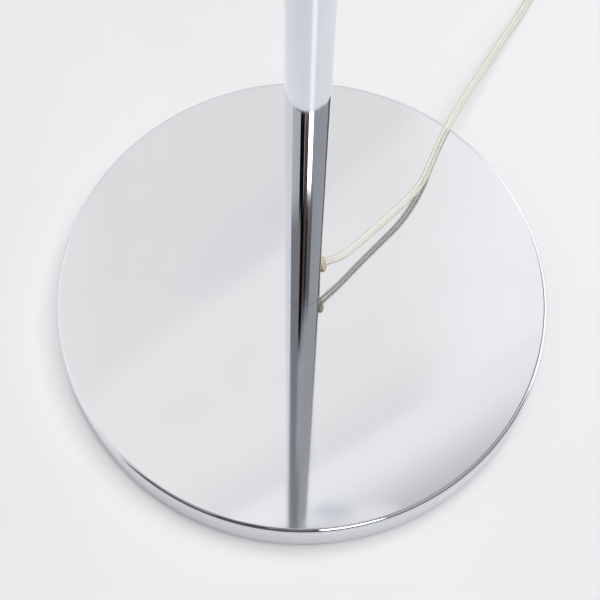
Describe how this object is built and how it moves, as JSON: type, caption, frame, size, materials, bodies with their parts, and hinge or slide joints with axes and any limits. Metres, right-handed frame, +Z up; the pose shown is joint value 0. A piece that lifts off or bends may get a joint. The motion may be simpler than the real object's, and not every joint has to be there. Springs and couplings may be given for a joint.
{
  "type": "telescopic floor lamp",
  "caption": "Floor lamp with a heavy round chromed base, a telescopic chrome pole locked by a hand knob, a fabric drum shade, and a clear flat lead with foot switch and plug.",
  "frame": {"origin": "centre of the round base, on the floor it stands on", "axes": "+Z up along the pole; +X towards the clamp knob; the lead leaves the base towards +X +Y"},
  "size_m": [0.3691, 0.568, 1.782],
  "materials": {
    "polished_chrome": "polished chrome plating",
    "zinc_steel": "zinc-plated steel",
    "cast_ballast": "cast concrete, rough",
    "foam_pad": "matt closed-cell foam",
    "clear_flex": "clear soft plastic over two tinned conductors",
    "clear_gland": "clear soft plastic, slightly yellowed",
    "white_plastic": "moulded white plastic, fine satin gloss",
    "guide_nylon": "natural nylon",
    "holder_white": "white thermoplastic",
    "block_grey": "grey thermoset",
    "holder_ceramic": "unglazed white ceramic",
    "contact_brass": "plain brass",
    "pin_nickel": "nickel-plated",
    "cap_aluminium": "rolled aluminium",
    "bulb_clear_glass": "clear glass",
    "filament_yellow": "phosphor-coated strips",
    "shade_cloth": "off-white woven cloth laminated on film",
    "white_wire": "white powder coat"
  },
  "bodies": {
    "root": {"base_cover": "polished_chrome", "base_weight": "cast_ballast", "base_plate": "zinc_steel", "base_pad": "foam_pad", "plate_screws": "zinc_steel", "pole_stud": "zinc_steel", "stud_washer": "zinc_steel", "stud_nut": "zinc_steel", "pole_foot": "zinc_steel", "lower_tube": "polished_chrome", "cord_grommet": "clear_gland", "lower_lead": "clear_flex", "slack_lead": "clear_flex", "clamp_collar": "polished_chrome", "collar_screws": "zinc_steel", "collar_bush": "guide_nylon", "cord_run": "clear_flex", "cord_lead": "clear_flex", "cord_coil": "clear_flex", "cord_tail": "clear_flex", "switch_base": "white_plastic", "switch_cover": "white_plastic", "switch_glands": "clear_gland", "switch_block": "block_grey", "switch_spring": "zinc_steel", "switch_screws": "zinc_steel", "plug_body": "white_plastic", "plug_pins": "pin_nickel"},
    "clamp_knob": {"knob_grip": "polished_chrome", "knob_screw": "zinc_steel", "knob_tip": "guide_nylon"},
    "sliding_guide": {"slide_guide": "guide_nylon"},
    "upper_pole": {"upper_tube": "polished_chrome", "tube_head": "polished_chrome", "nipple": "zinc_steel", "nipple_nut": "zinc_steel", "upper_lead": "clear_flex", "holder_seat": "polished_chrome", "holder_cap": "holder_white", "holder_shell": "holder_white", "holder_block": "holder_ceramic", "thread_sleeve": "contact_brass", "centre_contact": "contact_brass", "bulb_cap": "cap_aluminium", "bulb_contact": "cap_aluminium", "bulb_glass": "bulb_clear_glass", "bulb_stem": "bulb_clear_glass", "bulb_filaments": "filament_yellow", "shade_nut": "holder_white", "shade_bottom_ring": "white_wire", "shade_top_ring": "white_wire", "shade_spider": "white_wire", "shade_drum": "shade_cloth"},
    "foot_button": {"switch_button": "white_plastic"}
  },
  "joints": [
    {"name": "telescope", "type": "slide", "parent": "root", "child": "sliding_guide", "axis": [0, 0, 1], "range_m": [-0.44, 0.06], "deforming": ["slack_lead"]},
    {"name": "swivel", "type": "hinge", "parent": "sliding_guide", "child": "upper_pole", "pos_m": [0, 0, 0.62], "axis": [0, 0, 1], "range_deg": [-170, 170]},
    {"name": "clamp_turn", "type": "hinge", "parent": "root", "child": "clamp_knob", "pos_m": [0.022, 0, 0.842], "axis": [1, 0, 0], "range_deg": [0, 540]},
    {"name": "switch_press", "type": "slide", "parent": "root", "child": "foot_button", "axis": [0, 0, -1], "range_m": [0, 0.003], "stiffness_N_per_m": 2500, "springref_m": -0.002, "deforming": ["switch_spring"]}
  ]
}
